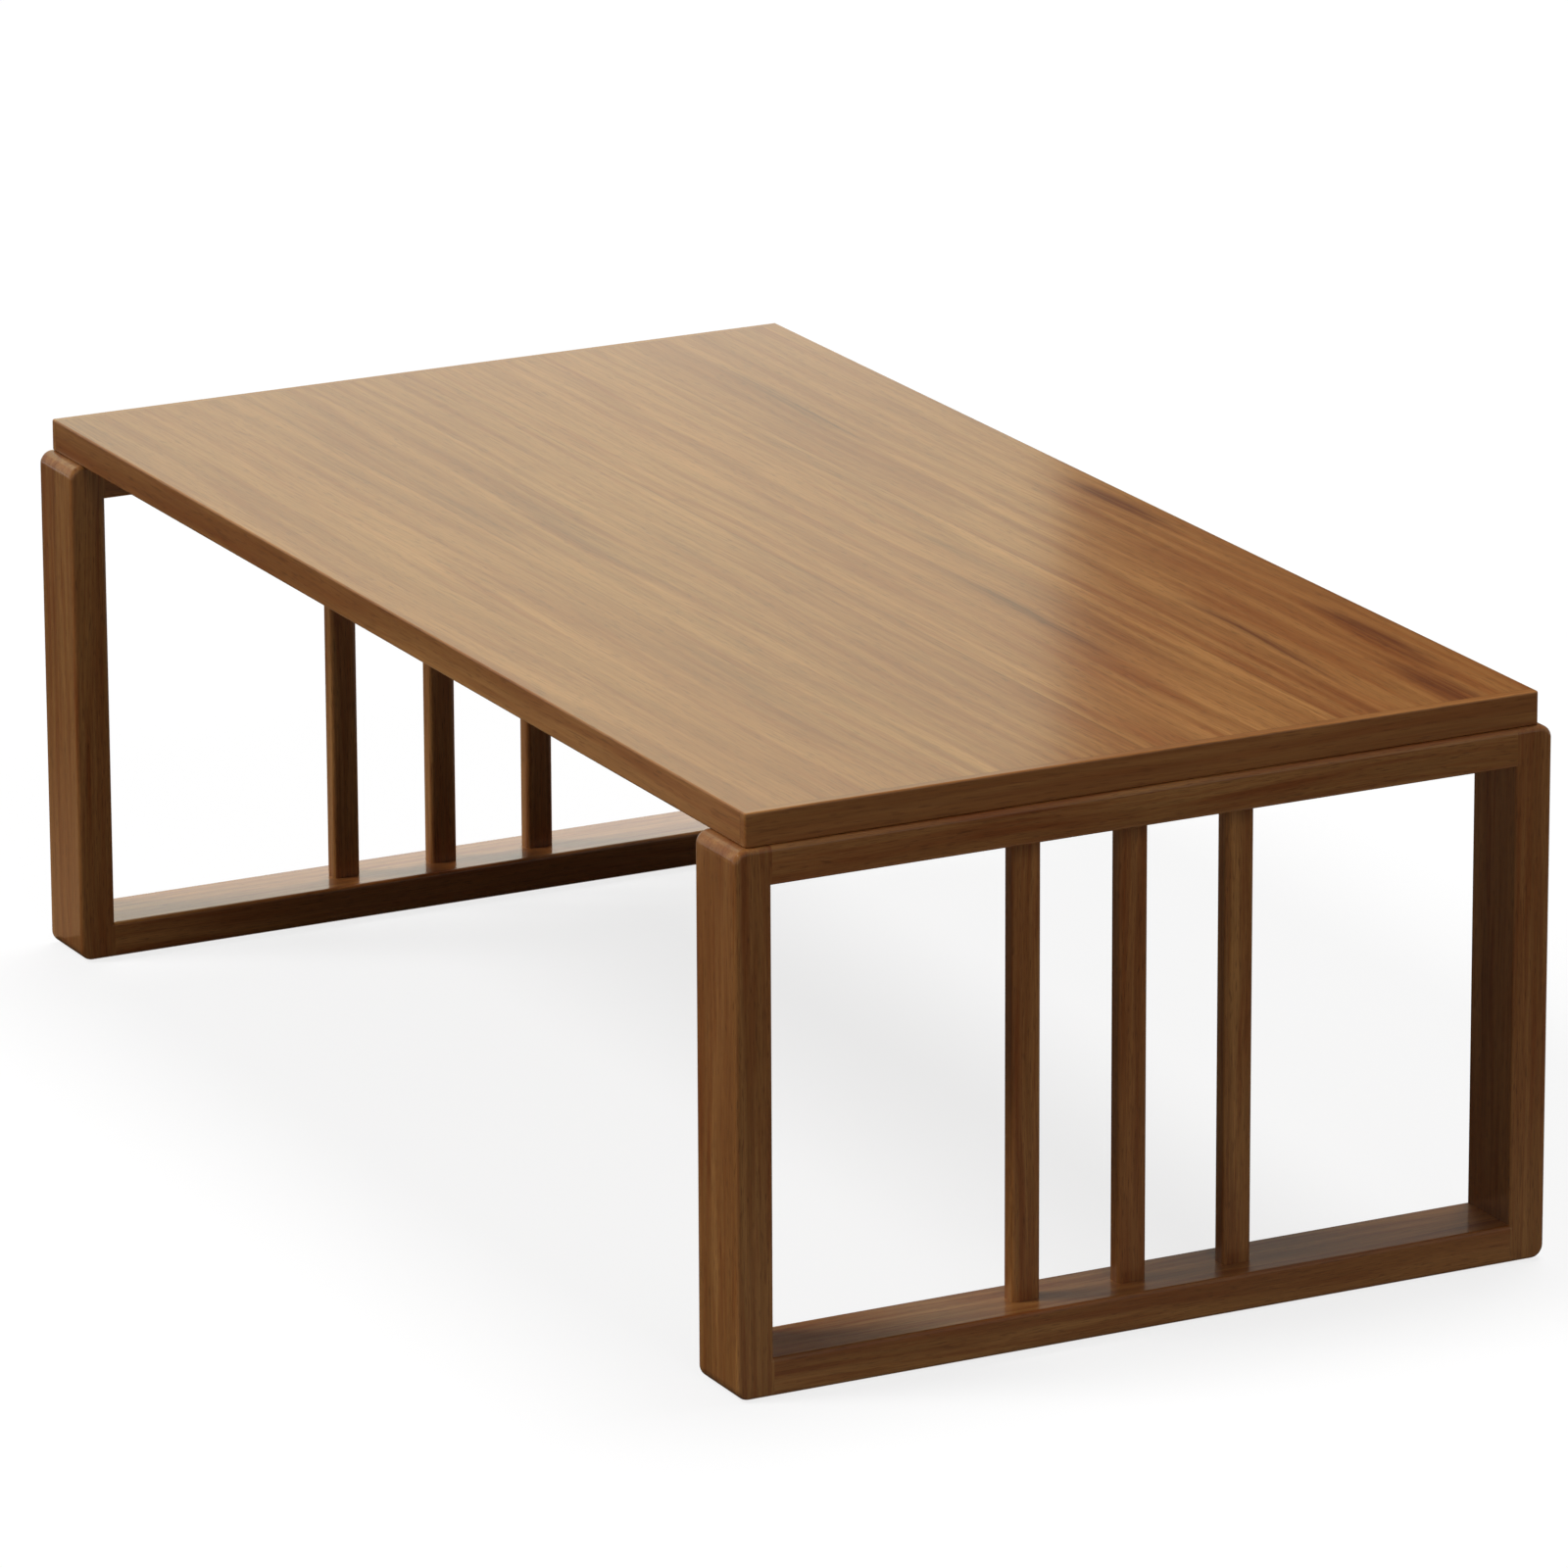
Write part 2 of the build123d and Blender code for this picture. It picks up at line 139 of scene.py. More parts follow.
class LowTableWood(bpy.types.PropertyGroup):
    """Stain, grain and lacquer of the wooden pieces."""

    stain: bpy.props.StringProperty(
        name="Stain", description="Walnut stain on plain wood, as sRGB hex", default="9C6835"
    )
    pale_grain: bpy.props.StringProperty(
        name="Pale grain", description="Stain where the wood takes least of it", default="BA8349"
    )
    red_tone: bpy.props.StringProperty(
        name="Red tone", description="Warm drift of the stain across a board", default="8A4C1F"
    )
    dark_streak: bpy.props.StringProperty(
        name="Dark streak", description="Stain in the dense latewood streaks", default="602A0D"
    )
    pore: bpy.props.StringProperty(
        name="Pore", description="Stain gathered in open pores", default="3A1A08"
    )
    ring_spacing: bpy.props.FloatProperty(
        name="Ring spacing", description="Growth ring to growth ring", default=0.011, unit="LENGTH"
    )
    fibre_width: bpy.props.FloatProperty(
        name="Fibre width", description="Width of one visible fibre", default=0.0009, unit="LENGTH"
    )
    fibre_length: bpy.props.FloatProperty(
        name="Fibre length", description="Length of one visible fibre", default=0.045, unit="LENGTH"
    )
    pore_width: bpy.props.FloatProperty(
        name="Pore width", description="Width of an open pore", default=0.0009, unit="LENGTH"
    )
    pore_length: bpy.props.FloatProperty(
        name="Pore length", description="Length of an open pore", default=0.012, unit="LENGTH"
    )
    line_width: bpy.props.FloatProperty(
        name="Line width", description="Width of a fine dark line", default=0.0028, unit="LENGTH"
    )
    line_length: bpy.props.FloatProperty(
        name="Line length", description="Length of a fine dark line", default=0.11, unit="LENGTH"
    )
    streak_width: bpy.props.FloatProperty(
        name="Streak width", description="Width of a soft streak", default=0.009, unit="LENGTH"
    )
    streak_length: bpy.props.FloatProperty(
        name="Streak length", description="Length of a soft streak", default=0.22, unit="LENGTH"
    )
    heart_width: bpy.props.FloatProperty(
        name="Heart width", description="Width of a heartwood streak", default=0.017, unit="LENGTH"
    )
    heart_length: bpy.props.FloatProperty(
        name="Heart length", description="Length of a heartwood streak", default=0.33,
        unit="LENGTH",
    )
    lacquer_roughness: bpy.props.FloatProperty(
        name="Lacquer roughness", description="Blur of the lacquer's reflections", default=0.13,
        min=0.0, max=1.0, subtype="FACTOR",
    )


class LowTableHardware(bpy.types.PropertyGroup):
    """Metal and rubber finishes, and the drive recess of the screws."""

    zinc: bpy.props.StringProperty(
        name="Zinc", description="Clear passivated zinc plating, as sRGB hex", default="C9C8C2"
    )
    blued: bpy.props.StringProperty(
        name="Blued steel", description="Tempered spring strip", default="4B5563"
    )
    rubber: bpy.props.StringProperty(
        name="Rubber", description="Foot pads", default="1E1D1C"
    )
    head_radius: bpy.props.FloatProperty(
        name="Head radius", description="Screw head", default=0.0035, unit="LENGTH"
    )
    shank_radius: bpy.props.FloatProperty(
        name="Shank radius", description="Screw shank", default=0.00175, unit="LENGTH"
    )
    screw_length: bpy.props.FloatProperty(
        name="Screw length", description="Head face to point", default=0.015, unit="LENGTH"
    )
    drive_width: bpy.props.FloatProperty(
        name="Drive width", description="Wing of the cross recess, tip to tip", default=0.0040,
        unit="LENGTH",
    )
    drive_slot: bpy.props.FloatProperty(
        name="Drive slot", description="Width of one wing of the cross recess", default=0.0009,
        unit="LENGTH",
    )
    drive_depth: bpy.props.FloatProperty(
        name="Drive depth", description="Depth of the cross recess", default=0.0014, unit="LENGTH"
    )


class LowTableStage(bpy.types.PropertyGroup):
    """Camera, lamps and floor."""

    azimuth: bpy.props.FloatProperty(
        name="Azimuth", description="Camera turn about the table", default=math.radians(62.824),
        subtype="ANGLE",
    )
    elevation: bpy.props.FloatProperty(
        name="Elevation", description="Camera height angle", default=math.radians(16.929),
        subtype="ANGLE",
    )
    roll: bpy.props.FloatProperty(
        name="Roll", description="Camera turn about its own axis", default=math.radians(-0.255),
        subtype="ANGLE",
    )
    distance: bpy.props.FloatProperty(
        name="Distance", description="Camera to the table", default=6.44696, unit="LENGTH"
    )
    target_height: bpy.props.FloatProperty(
        name="Target height", description="Point that the camera turns about", default=0.170433,
        unit="LENGTH",
    )
    pan_right: bpy.props.FloatProperty(
        name="Pan right", description="Camera move to its right", default=0.012703, unit="LENGTH"
    )
    pan_up: bpy.props.FloatProperty(
        name="Pan up", description="Camera move upward", default=0.022774, unit="LENGTH"
    )
    lens: bpy.props.FloatProperty(
        name="Lens", description="Focal length in millimetres", default=247.978, unit="CAMERA"
    )
    floor: bpy.props.StringProperty(
        name="Floor", description="Floor paper, as sRGB hex", default="FFFFFF"
    )
    shadow: bpy.props.FloatProperty(
        name="Shadow", description="Share of the floor's look that takes shadow", default=0.2,
        min=0.0, max=1.0, subtype="FACTOR",
    )
    ambient: bpy.props.FloatProperty(
        name="Ambient", description="Light from all round", default=0.04, min=0.0
    )
    overhead: bpy.props.FloatProperty(
        name="Overhead", description="Broad lamp above the table", default=1.7, min=0.0
    )
    front: bpy.props.FloatProperty(
        name="Front", description="Softer lamp before the long side", default=1.78, min=0.0
    )
    side: bpy.props.FloatProperty(
        name="Side", description="Weak lamp beside the right end", default=0.4, min=0.0
    )
    window_edge: bpy.props.FloatProperty(
        name="Window edge", description="Where the bright card ends and the dark one starts",
        default=0.27, unit="LENGTH",
    )


def linear(hex_colour):
    """An sRGB hex colour as linear RGBA."""
    parts = [int(hex_colour[i:i + 2], 16) / 255 for i in (0, 2, 4)]
    return [p / 12.92 if p <= 0.04045 else ((p + 0.055) / 1.055) ** 2.4 for p in parts] + [1.0]


def add_node(tree, kind, inputs=None, **settings):
    """Add one node, set its properties and fill its inputs with values or other nodes' outputs.

    An input goes by its name or its number. Numbers 1 to 4 of a Map Range are its from and to
    limits, and 0, 6 and 7 of a colour Mix are its share and its two colours.
    """
    made = tree.nodes.new(kind)
    for name, value in settings.items():
        setattr(made, name, value)
    for socket, value in (inputs or {}).items():
        if isinstance(value, bpy.types.NodeSocket):
            tree.links.new(value, made.inputs[socket])
        else:
            made.inputs[socket].default_value = value
    return made


def new_material(name):
    """An empty node material, its tree and its output node."""
    material = bpy.data.materials.new(name)
    material.use_nodes = True
    tree = material.node_tree
    tree.nodes.clear()
    return material, tree, tree.nodes.new("ShaderNodeOutputMaterial")


def stretched_noise(tree, vector, waves, detail):
    """A noise with its own waves per metre on X, Y and Z."""
    drawn = add_node(tree, "ShaderNodeMapping", {"Vector": vector, "Scale": waves})
    return add_node(
        tree, "ShaderNodeTexNoise",
        {"Vector": drawn.outputs["Vector"], "Scale": 1.0, "Detail": detail},
    )


def where_seen(tree):
    """1 where a surface is looked at, in a reflection and through glass too, or else 0."""
    rays = add_node(tree, "ShaderNodeLightPath")
    seen = rays.outputs["Is Camera Ray"]
    for kind in ("Is Glossy Ray", "Is Transmission Ray"):
        seen = add_node(
            tree, "ShaderNodeMath", {0: seen, 1: rays.outputs[kind]}, operation="MAXIMUM"
        ).outputs[0]
    return seen


def finish_nodes(names, material):
    """Give CAD nodes a material."""
    for name in names:
        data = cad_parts[name].data
        data.materials.clear()
        data.materials.append(material)


def lacquered_wood(
    name, grain, place, seams=(), tone=1.0, figure=1.0, fineness=1.0, hearts=()
):
    """Walnut-stained elm under gloss lacquer, planed and sprayed.

    The stain darkens pores and latewood, so the eye sees short dark dashes and long soft
    streaks along the grain, all under one smooth clear coat that mirrors bright things at a
    low angle. The place moves the piece within the tree, so that no two pieces match. Seams
    are pairs of an axis number and a place on it where a glue line shows. Figure is the
    strength of the grain, and fineness makes it closer, as on narrow quarter-sawn pieces. Hearts
    are single dark streaks on a board: the middle on X and Y, the length and the width.
    """
    wood = bpy.context.scene.low_table_wood
    material, tree, output = new_material(name)
    spot = add_node(tree, "ShaderNodeTexCoord").outputs["Object"]
    turned = add_node(
        tree, "ShaderNodeMapping",
        {"Vector": spot, "Rotation": GRAIN_ALONG[grain], "Location": place,
         "Scale": (fineness,) * 3},
    ).outputs["Vector"]

    # Slow wander of the fibres over a hand's breadth
    wander = stretched_noise(tree, turned, WANDER_WAVES, 1.0).outputs["Color"]
    bent = add_node(
        tree, "ShaderNodeVectorMath", {0: wander, 1: (0.0, STRAY, STRAY), 2: turned},
        operation="MULTIPLY_ADD",
    ).outputs["Vector"]

    # Growth rings about a pith that lies a little askew below the board
    tree_place = add_node(
        tree, "ShaderNodeMapping",
        {"Vector": bent, "Location": PITH_SHIFT, "Rotation": PITH_TILT},
    ).outputs["Vector"]
    across = add_node(
        tree, "ShaderNodeVectorMath", {0: tree_place, 1: (0.0, 1.0, 1.0)}, operation="MULTIPLY"
    ).outputs["Vector"]
    radius = add_node(
        tree, "ShaderNodeVectorMath", {0: across}, operation="LENGTH"
    ).outputs["Value"]
    rings = add_node(
        tree, "ShaderNodeTexNoise",
        {"W": radius, "Scale": 1.0 / wood.ring_spacing, "Detail": 1.0, "Roughness": 0.45},
        noise_dimensions="1D",
    ).outputs["Fac"]
    rings = add_node(
        tree, "ShaderNodeMapRange", {0: rings, 1: 0.36, 2: 0.66, 3: 0.0, 4: 1.0}
    ).outputs[0]

    # Long features, each a noise stretched along the grain and cut off low and high
    drawn = []
    for length, width, detail, low, high in (
        (wood.fibre_length, wood.fibre_width, 2.0, 0.34, 0.66),
        (wood.pore_length, wood.pore_width, 0.0, 0.62, 0.74),
        (wood.line_length, wood.line_width, 2.0, 0.50, 0.68),
        (wood.streak_length, wood.streak_width, 3.0, 0.46, 0.70),
        (wood.heart_length, wood.heart_width, 2.0, 0.48, 0.70),
        (*STRAND, 1.0, 0.36, 0.62),
        (*DRIFT, 1.0, 0.38, 0.66),
    ):
        waves = (1.0 / length, 1.0 / width, 1.0 / width)
        value = stretched_noise(tree, bent, waves, detail).outputs["Fac"]
        drawn.append(add_node(
            tree, "ShaderNodeMapRange", {0: value, 1: low, 2: high, 3: 0.0, 4: 1.0}
        ).outputs[0])
    fibre, pores, fine, streaks, heart, strands, drift = drawn

    # Heartwood streaks come in bunches, where the board runs close to the middle of the tree
    bunch = stretched_noise(tree, turned, BUNCH_WAVES, 0.0).outputs["Fac"]
    bunch = add_node(
        tree, "ShaderNodeMapRange", {0: bunch, 1: 0.44, 2: 0.62, 3: 0.05, 4: 0.6}
    ).outputs[0]
    heart = add_node(
        tree, "ShaderNodeMath", {0: heart, 1: bunch}, operation="MULTIPLY"
    ).outputs[0]

    # Single streaks, each an oval about its own middle, that fades out toward its edge
    for x, y, length, width in hearts:
        strayed = add_node(
            tree, "ShaderNodeVectorMath", {0: wander, 1: (0.0, STRAY, 0.0), 2: spot},
            operation="MULTIPLY_ADD",
        ).outputs["Vector"]
        spread = (2.0 / length, 2.0 / width, 0.0)
        around = add_node(
            tree, "ShaderNodeMapping", {
                "Vector": strayed, "Scale": spread,
                "Location": (-x * spread[0], -(y + STRAY / 2) * spread[1], 0.0),
            },
        ).outputs["Vector"]
        reach = add_node(
            tree, "ShaderNodeVectorMath", {0: around}, operation="LENGTH"
        ).outputs["Value"]
        mark = add_node(
            tree, "ShaderNodeMapRange", {0: reach, 1: 0.25, 2: 1.0, 3: 1.0, 4: 0.0},
            interpolation_type="SMOOTHSTEP",
        ).outputs[0]
        heart = add_node(
            tree, "ShaderNodeMath", {0: heart, 1: mark}, operation="MAXIMUM"
        ).outputs[0]
    strands = add_node(tree, "ShaderNodeMapRange", {0: strands, 3: 0.35, 4: 1.0}).outputs[0]
    heart = add_node(
        tree, "ShaderNodeMath", {0: heart, 1: strands}, operation="MULTIPLY"
    ).outputs[0]

    # Glue lines, as thin dark lines across the piece's own coordinates
    lines = None
    for axis, where in seams:
        parts = add_node(tree, "ShaderNodeSeparateXYZ", {0: spot})
        gap = add_node(
            tree, "ShaderNodeMath", {0: parts.outputs[axis], 1: where}, operation="SUBTRACT"
        ).outputs[0]
        gap = add_node(tree, "ShaderNodeMath", {0: gap}, operation="ABSOLUTE").outputs[0]
        line = add_node(
            tree, "ShaderNodeMapRange",
            {0: gap, 1: GLUE_LINE[0], 2: GLUE_LINE[1], 3: 1.0, 4: 0.0},
        ).outputs[0]
        if lines is None:
            lines = line
        else:
            lines = add_node(tree, "ShaderNodeMath", {0: lines, 1: line}, operation="MAXIMUM")
            lines = lines.outputs[0]

    # Colours laid over the stain one by one, each where its feature is and in its own share
    colour = linear(wood.stain)
    layers = [
        (wood.pale_grain, rings, 0.55 * figure), (wood.red_tone, drift, 0.3 * figure),
        (wood.red_tone, fine, 0.3 * figure), (wood.red_tone, streaks, 0.65 * figure),
        (wood.dark_streak, heart, 0.68 * figure), (wood.pore, pores, 0.22 * figure),
    ]
    if lines is not None:
        layers.append((wood.pore, lines, 0.25))
    for shade, amount, share in layers:
        amount = add_node(
            tree, "ShaderNodeMath", {0: amount, 1: share}, operation="MULTIPLY"
        ).outputs[0]
        colour = add_node(
            tree, "ShaderNodeMix", {0: amount, 6: colour, 7: linear(shade)}, data_type="RGBA"
        ).outputs[2]

    # Fibres a little darker and lighter, about the piece's own tone
    contrast = FIBRE_CONTRAST * figure
    depth = add_node(
        tree, "ShaderNodeMapRange",
        {0: fibre, 1: 0.0, 2: 1.0, 3: tone * (1.0 - contrast), 4: tone * (1.0 + contrast)},
    ).outputs[0]
    colour = add_node(
        tree, "ShaderNodeVectorMath", {0: colour, "Scale": depth}, operation="SCALE"
    ).outputs["Vector"]

    # Grain telegraphs through the lacquer only a little
    height = add_node(
        tree, "ShaderNodeMath", {0: pores, 1: -1.0, 2: fibre}, operation="MULTIPLY_ADD"
    ).outputs[0]
    relief = add_node(
        tree, "ShaderNodeBump", {"Strength": 0.35, "Distance": GRAIN_RELIEF, "Height": height}
    ).outputs["Normal"]
    flow = stretched_noise(tree, turned, FLOW_WAVES, 1.0).outputs["Fac"]
    coat = add_node(
        tree, "ShaderNodeBump", {"Strength": 0.25, "Distance": COAT_RELIEF, "Height": flow}
    ).outputs["Normal"]
    shader = add_node(
        tree, "ShaderNodeBsdfPrincipled", {
            "Base Color": colour, "Roughness": 0.46, "IOR": 1.5, "Specular IOR Level": 0.2,
            "Normal": relief, "Coat Weight": 1.0, "Coat Roughness": wood.lacquer_roughness,
            "Coat IOR": 1.5, "Coat Normal": coat,
        },
    ).outputs["BSDF"]
    tree.links.new(shader, output.inputs["Surface"])
    return material


def zinc_plated_steel(name):
    """Cold rolled steel strip, pressed and zinc plated.

    Plating leaves a pale, slightly cloudy metal with faint rolling lines and a little yellow.
    """
    hardware = bpy.context.scene.low_table_hardware
    material, tree, output = new_material(name)
    spot = add_node(tree, "ShaderNodeTexCoord").outputs["Object"]
    # Rolling lines 0.4 mm apart, coarser than the real ones so that they show
    lines = stretched_noise(tree, spot, ROLLING_WAVES, 2.0).outputs["Fac"]
    cloud = add_node(
        tree, "ShaderNodeTexNoise", {"Vector": spot, "Scale": 220.0, "Detail": 3.0}
    ).outputs["Fac"]
    colour = add_node(
        tree, "ShaderNodeMix",
        {0: cloud, 6: linear(hardware.zinc), 7: linear("B2AA94")}, data_type="RGBA",
    ).outputs[2]
    roughness = add_node(
        tree, "ShaderNodeMapRange", {0: lines, 1: 0.3, 2: 0.7, 3: 0.26, 4: 0.44}
    ).outputs[0]
    relief = add_node(
        tree, "ShaderNodeBump", {"Strength": 0.2, "Distance": 0.00004, "Height": lines}
    ).outputs["Normal"]
    shader = add_node(
        tree, "ShaderNodeBsdfPrincipled",
        {"Base Color": colour, "Metallic": 1.0, "Roughness": roughness, "Normal": relief},
    ).outputs["BSDF"]
    tree.links.new(shader, output.inputs["Surface"])
    return material


def blued_spring_steel(name):
    """Hardened strip steel, tempered blue.

    The temper film gives a dark blue grey that turns straw and violet in patches.
    """
    hardware = bpy.context.scene.low_table_hardware
    material, tree, output = new_material(name)
    spot = add_node(tree, "ShaderNodeTexCoord").outputs["Object"]
    temper = add_node(
        tree, "ShaderNodeTexNoise", {"Vector": spot, "Scale": 130.0, "Detail": 2.0}
    ).outputs["Fac"]
    patches = add_node(
        tree, "ShaderNodeMapRange", {0: temper, 1: 0.45, 2: 0.7, 3: 0.0, 4: 1.0}
    ).outputs[0]
    colour = add_node(
        tree, "ShaderNodeMix",
        {0: patches, 6: linear(hardware.blued), 7: linear("6B5A63")}, data_type="RGBA",
    ).outputs[2]
    roughness = add_node(
        tree, "ShaderNodeMapRange", {0: temper, 1: 0.3, 2: 0.7, 3: 0.22, 4: 0.36}
    ).outputs[0]
    shader = add_node(
        tree, "ShaderNodeBsdfPrincipled",
        {"Base Color": colour, "Metallic": 1.0, "Roughness": roughness},
    ).outputs["BSDF"]
    tree.links.new(shader, output.inputs["Surface"])
    return material


def moulded_rubber(name):
    """Black moulded rubber with a fine spark-eroded grain, dull and a little dusty."""
    hardware = bpy.context.scene.low_table_hardware
    material, tree, output = new_material(name)
    spot = add_node(tree, "ShaderNodeTexCoord").outputs["Object"]
    grain = add_node(
        tree, "ShaderNodeTexVoronoi", {"Vector": spot, "Scale": 1600.0}
    ).outputs["Distance"]
    dust = add_node(
        tree, "ShaderNodeTexNoise", {"Vector": spot, "Scale": 90.0, "Detail": 3.0}
    ).outputs["Fac"]
    colour = add_node(
        tree, "ShaderNodeMix",
        {0: dust, 6: linear(hardware.rubber), 7: linear("35322F")}, data_type="RGBA",
    ).outputs[2]
    relief = add_node(
        tree, "ShaderNodeBump", {"Strength": 0.4, "Distance": 0.00008, "Height": grain}
    ).outputs["Normal"]
    shader = add_node(
        tree, "ShaderNodeBsdfPrincipled",
        {"Base Color": colour, "Roughness": 0.78, "Normal": relief},
    ).outputs["BSDF"]
    tree.links.new(shader, output.inputs["Surface"])
    return material


def place_mesh(name, shape, material):
    """Turn a bmesh into an object that sits at the origin."""
    mesh = bpy.data.meshes.new(name)
    shape.to_mesh(mesh)
    shape.free()
    mesh.materials.append(material)
    made = bpy.data.objects.new(name, mesh)
    bpy.context.scene.collection.objects.link(made)
    return made


def screw_blank():
    """One countersunk wood screw as a mesh, head face at the origin and point down."""
    hardware = bpy.context.scene.low_table_hardware
    head, shank = hardware.head_radius, hardware.shank_radius
    length = hardware.screw_length
    outline = [(0.0, 0.0), (head * HEAD_FACE, 0.0), (head, -HEAD_RIM), (shank, shank - head)]
    z = shank - head - THREAD_START
    while z > BARE_POINT - length:
        share = min(1.0, (z + length) / THREAD_TAPER)
        outline.append((shank * THREAD_ROOT * share, z))
        outline.append((shank * share, z - THREAD_FLANK))
        z -= THREAD_PITCH
    outline.append((0.0, -length))
    shape = bmesh.new()
    verts = [shape.verts.new((x, 0.0, z)) for x, z in outline]
    for a, b in zip(verts, verts[1:]):
        shape.edges.new((a, b))
    bmesh.ops.spin(
        shape, geom=shape.verts[:] + shape.edges[:], cent=(0, 0, 0), axis=(0, 0, 1),
        angle=math.tau, steps=20, use_merge=True,
    )
    bmesh.ops.remove_doubles(shape, verts=shape.verts, dist=1e-6)
    bmesh.ops.recalc_face_normals(shape, faces=shape.faces)
    body = bpy.data.meshes.new("screw_body")
    shape.to_mesh(body)
    shape.free()

    # The cross recess, a pair of tapered wings cut out of the head
    shape = bmesh.new()
    for turn in (0.0, math.radians(90)):
        made = bmesh.ops.create_cube(shape, size=1.0)["verts"]
        bmesh.ops.scale(
            shape, verts=made,
            vec=(hardware.drive_width, hardware.drive_slot, 2.0 * hardware.drive_depth),
        )
        for v in made:
            if v.co.z < 0:
                v.co.x *= DRIVE_TAPER
        bmesh.ops.rotate(
            shape, verts=made, cent=(0, 0, 0), matrix=Matrix.Rotation(turn, 3, "Z")
        )
    cutter_mesh = bpy.data.meshes.new("screw_cutter")
    shape.to_mesh(cutter_mesh)
    shape.free()
    scene = bpy.context.scene
    blank = bpy.data.objects.new("screw_body", body)
    cutter = bpy.data.objects.new("screw_cutter", cutter_mesh)
    scene.collection.objects.link(blank)
    scene.collection.objects.link(cutter)
    cut = blank.modifiers.new("recess", "BOOLEAN")
    cut.object = cutter
    cut.operation = "DIFFERENCE"
    cut.solver = "EXACT"
    cut.use_self = True
    bpy.context.view_layer.update()
    graph = bpy.context.evaluated_depsgraph_get()
    done = bpy.data.meshes.new_from_object(blank.evaluated_get(graph))
    bpy.data.objects.remove(blank)
    bpy.data.objects.remove(cutter)
    return done


def screw_group(name, blank, places, material):
    """Copies of one screw, each set at a place and turned a little differently."""
    shape = bmesh.new()
    for number, (spot, outward) in enumerate(places):
        turn = Vector((0, 0, 1)).rotation_difference(Vector(outward)).to_matrix().to_4x4()
        twist = Matrix.Rotation(SCREW_TWIST * number, 4, "Z")
        copy = blank.copy()
        copy.transform(Matrix.Translation(spot) @ turn @ twist)
        shape.from_mesh(copy)
        bpy.data.meshes.remove(copy)
    made = place_mesh(name, shape, material)
    for face in made.data.polygons:
        face.use_smooth = False
    return made


class LOWTABLE_OT_tabletop(bpy.types.Operator):
    """Stain and lacquer the boards and end strips of the top"""

    bl_idname = "lowtable.tabletop"
    bl_label = "Tabletop"

    def execute(self, context):
        low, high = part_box("left_end_strip")
        strip_in = high.x
        half = low.y
        width = -2.0 * half / len(BOARDS)
        tones = (1.03, 1.0, 1.06, 1.03)  # a tone for each board, from the front
        # Dark streaks by board: the middle on X and Y, the length and the width
        hearts = {
            3: ((0.19, 0.075, 0.30, 0.016),),
            4: (
                (0.34, 0.226, 0.26, 0.022), (0.45, 0.208, 0.20, 0.036), (0.01, 0.238, 0.20, 0.020),
                (0.3, 0.165, 0.3, 0.012), (-0.3, 0.17, 0.3, 0.018),
            ),
        }
        for number in BOARDS:
            edges = [half + width * k for k in (number - 1, number) if 0 < k < len(BOARDS)]
            seams = [(1, edge) for edge in edges] + [(0, strip_in), (0, -strip_in)]
            place = tuple(step * number for step in BOARD_STEP)
            material = lacquered_wood(
                f"stained_board_{number}", "X", place, seams, tones[number - 1],
                figure=1.25, hearts=hearts.get(number, ()),
            )
            finish_nodes([f"top_board_{number}"], material)
        for number, side in enumerate(SIDES):
            place = (STRIP_START[0] + number, *STRIP_START[1:])
            seam = strip_in if side == "left" else -strip_in
            material = lacquered_wood(
                f"stained_strip_{side}", "Y", place, [(0, seam)], tone=1.06
            )
            finish_nodes([f"{side}_end_strip"], material)
        return {"FINISHED"}


class LOWTABLE_OT_frames(bpy.types.Operator):
    """Stain and lacquer the legs, rails and slats"""

    bl_idname = "lowtable.frames"
    bl_label = "End frames"

    def execute(self, context):
        step = FRAME_START
        for side in SIDES:
            pieces = [(f"{side}_{end}_leg", "Z", 0.96) for end in ENDS]
            pieces += [(f"{side}_top_rail", "Y", 1.03), (f"{side}_bottom_rail", "Y", 1.03)]
            pieces += [(f"{side}_slat_{number}", "Z", 1.04) for number in SLATS]
            for name, grain, tone in pieces:
                step += FRAME_STEP
                place = tuple(step * share for share in FRAME_SHARES)
                material = lacquered_wood(
                    f"stained_{name}", grain, place, tone=tone, figure=1.5, fineness=1.6
                )
                finish_nodes([name], material)
        return {"FINISHED"}


